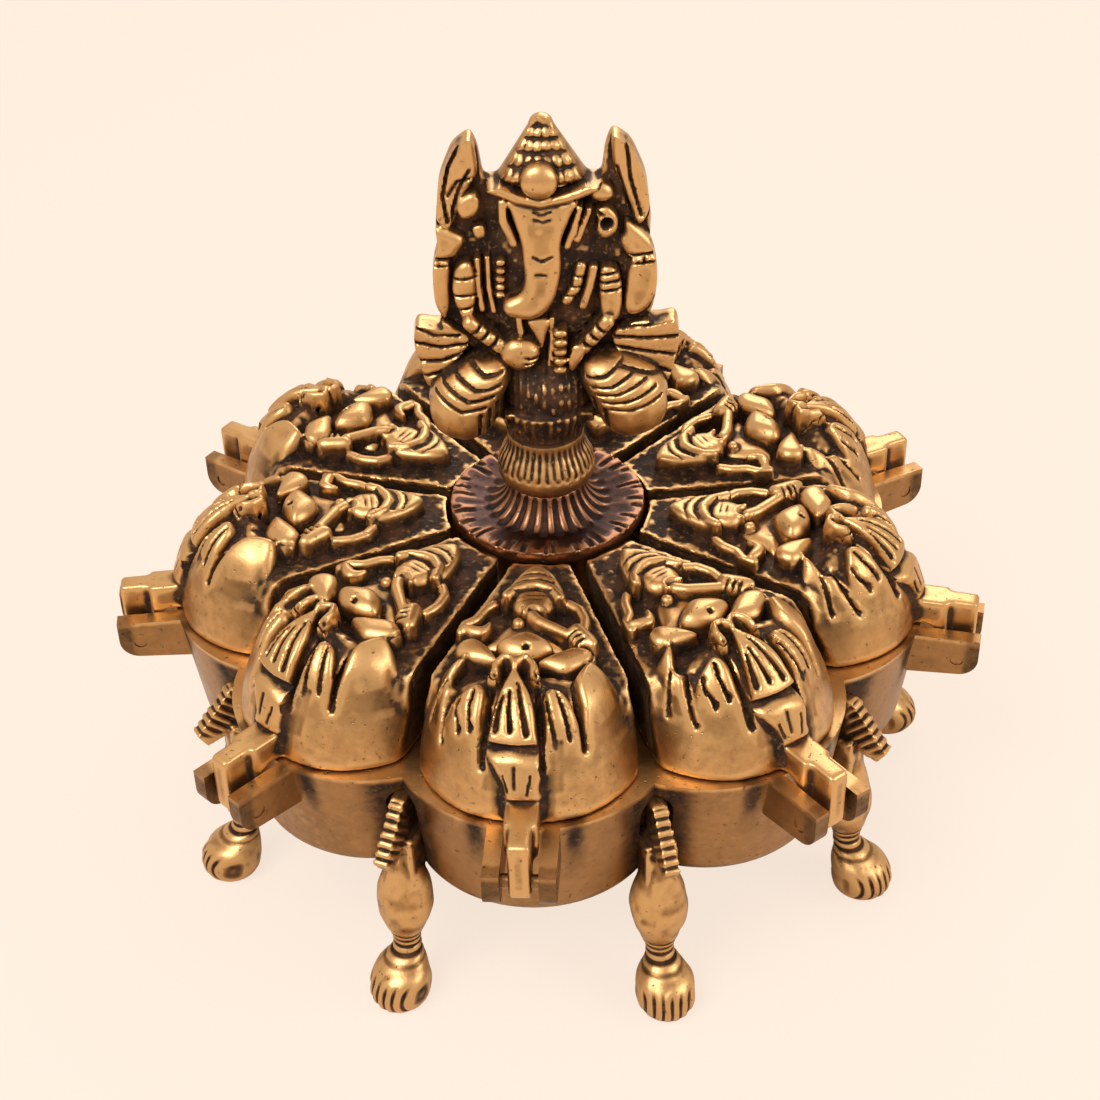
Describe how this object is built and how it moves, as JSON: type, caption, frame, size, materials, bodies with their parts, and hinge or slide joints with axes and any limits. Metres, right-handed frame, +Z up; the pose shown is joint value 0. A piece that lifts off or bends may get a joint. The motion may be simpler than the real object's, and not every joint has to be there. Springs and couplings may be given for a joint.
{
  "type": "sindoor box",
  "caption": "Petal-shaped cast brass box with hinged domed lids on small legs, a fluted centre disc and a seated elephant-headed figure as its finial.",
  "frame": {"origin": "on the box's vertical axis at the level its feet stand on", "axes": "+Z up along the axis; the finial's figure and the first lid face -Y"},
  "size_m": [0.1486, 0.1464, 0.129],
  "materials": {
    "brass_tray": "antiqued cast, polished high spots over a dark patina",
    "brass_lid": "antiqued cast, polished relief over a dark patina",
    "brass_pin": "dull drawn wire",
    "brass_leg": "antiqued cast, dark in the hollows",
    "brass_post": "turned, dull",
    "brass_disc": "dark patina with a worn coppery edge",
    "brass_figure": "antiqued cast, polished relief over a dark patina"
  },
  "bodies": {
    "box": {"tray": "brass_tray", "hinge_pin_1": "brass_pin", "hinge_pin_2": "brass_pin", "hinge_pin_3": "brass_pin", "hinge_pin_4": "brass_pin", "hinge_pin_5": "brass_pin", "hinge_pin_6": "brass_pin", "hinge_pin_7": "brass_pin", "hinge_pin_8": "brass_pin", "hinge_pin_9": "brass_pin", "leg_1": "brass_leg", "leg_2": "brass_leg", "leg_3": "brass_leg", "leg_4": "brass_leg", "leg_5": "brass_leg", "leg_6": "brass_leg", "leg_7": "brass_leg", "leg_8": "brass_leg", "leg_9": "brass_leg", "centre_post": "brass_post", "post_nut": "brass_post"},
    "lid_1": {"lid_1": "brass_lid"},
    "lid_2": {"lid_2": "brass_lid"},
    "lid_3": {"lid_3": "brass_lid"},
    "lid_4": {"lid_4": "brass_lid"},
    "lid_5": {"lid_5": "brass_lid"},
    "lid_6": {"lid_6": "brass_lid"},
    "lid_7": {"lid_7": "brass_lid"},
    "lid_8": {"lid_8": "brass_lid"},
    "lid_9": {"lid_9": "brass_lid"},
    "disc": {"retaining_disc": "brass_disc"},
    "finial": {"figure_finial": "brass_figure"}
  },
  "joints": [
    {"name": "lid_1_hinge", "type": "hinge", "parent": "box", "child": "lid_1", "pos_m": [0, -0.071, 0.0394], "axis": [1, 0, 0], "range_deg": [0, 180]},
    {"name": "lid_2_hinge", "type": "hinge", "parent": "box", "child": "lid_2", "pos_m": [0.04564, -0.05439, 0.0394], "axis": [0.766, 0.6428, 0], "range_deg": [0, 180]},
    {"name": "lid_3_hinge", "type": "hinge", "parent": "box", "child": "lid_3", "pos_m": [0.06992, -0.01233, 0.0394], "axis": [0.1736, 0.9848, 0], "range_deg": [0, 180]},
    {"name": "lid_4_hinge", "type": "hinge", "parent": "box", "child": "lid_4", "pos_m": [0.06149, 0.0355, 0.0394], "axis": [-0.5, 0.866, 0], "range_deg": [0, 180]},
    {"name": "lid_5_hinge", "type": "hinge", "parent": "box", "child": "lid_5", "pos_m": [0.02428, 0.06672, 0.0394], "axis": [-0.9397, 0.342, 0], "range_deg": [0, 180]},
    {"name": "lid_6_hinge", "type": "hinge", "parent": "box", "child": "lid_6", "pos_m": [-0.02428, 0.06672, 0.0394], "axis": [-0.9397, -0.342, 0], "range_deg": [0, 180]},
    {"name": "lid_7_hinge", "type": "hinge", "parent": "box", "child": "lid_7", "pos_m": [-0.06149, 0.0355, 0.0394], "axis": [-0.5, -0.866, 0], "range_deg": [0, 180]},
    {"name": "lid_8_hinge", "type": "hinge", "parent": "box", "child": "lid_8", "pos_m": [-0.06992, -0.01233, 0.0394], "axis": [0.1736, -0.9848, 0], "range_deg": [0, 180]},
    {"name": "lid_9_hinge", "type": "hinge", "parent": "box", "child": "lid_9", "pos_m": [-0.04564, -0.05439, 0.0394], "axis": [0.766, -0.6428, 0], "range_deg": [0, 180]},
    {"name": "disc_lift", "type": "slide", "parent": "box", "child": "disc", "axis": [0, 0, 1], "range_m": [0, 0.0045]},
    {"name": "finial_turn", "type": "hinge", "parent": "disc", "child": "finial", "pos_m": [0, 0, 0.06285], "axis": [0, 0, 1], "range_deg": [0, 1080]}
  ],
  "couplings": [
    {"joint": "finial_turn", "follows": "disc_lift", "rad_per_m": 4188.8}
  ]
}
